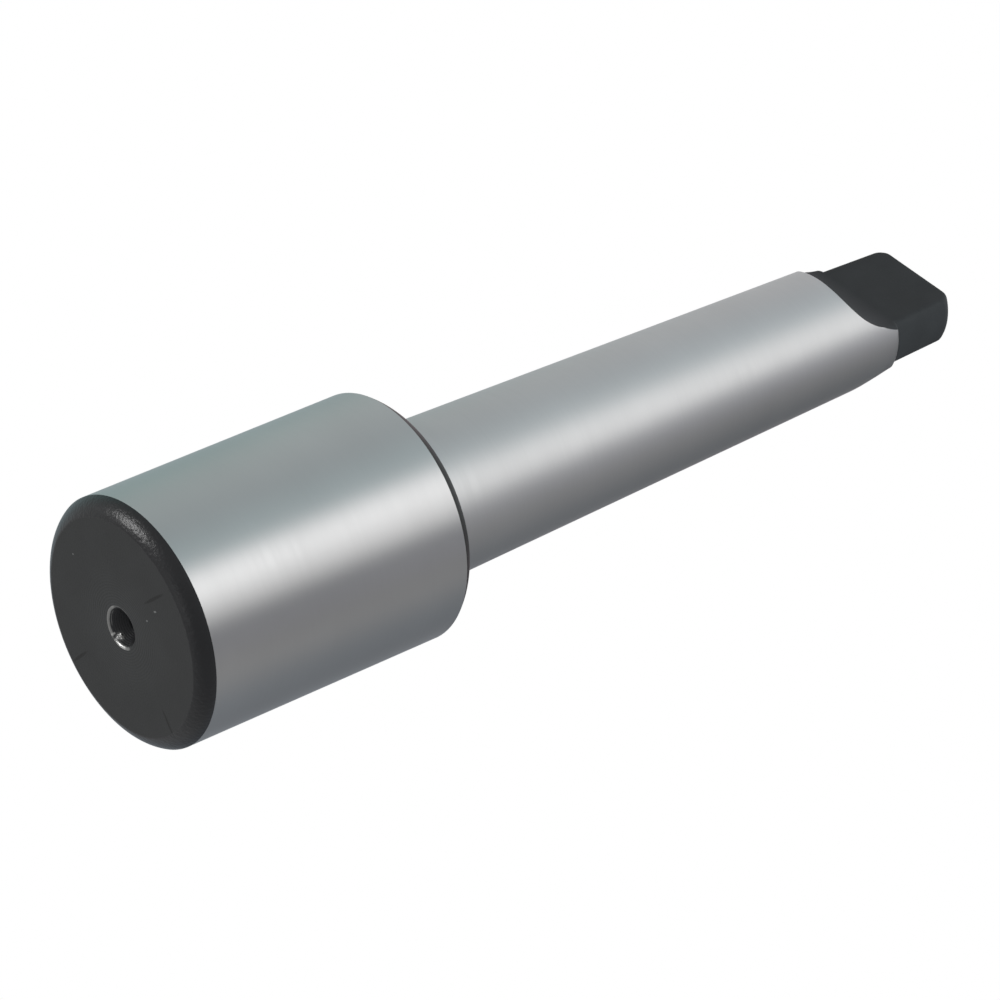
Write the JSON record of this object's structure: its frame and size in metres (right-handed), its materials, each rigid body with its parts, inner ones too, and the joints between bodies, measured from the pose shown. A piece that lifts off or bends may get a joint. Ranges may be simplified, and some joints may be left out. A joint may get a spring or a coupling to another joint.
{
  "type": "blank-end arbor with taper shank",
  "caption": "One-piece steel arbor: plain cylindrical head with a centre hole, slow self-holding taper shank and a flat driving tang with hollow run-outs.",
  "frame": {"origin": "centre of the front face of the head, on the axis; the arbor stands on its head", "axes": "+Z along the axis from the head to the end of the tang; the two tang flats face -Y and +Y"},
  "size_m": [0.038, 0.038, 0.1534],
  "materials": {
    "ground_steel": "cylindrically ground, satin",
    "black_steel": "hardened and left black, satin"
  },
  "bodies": {
    "root": {"arbor": "ground_steel"}
  },
  "joints": []
}
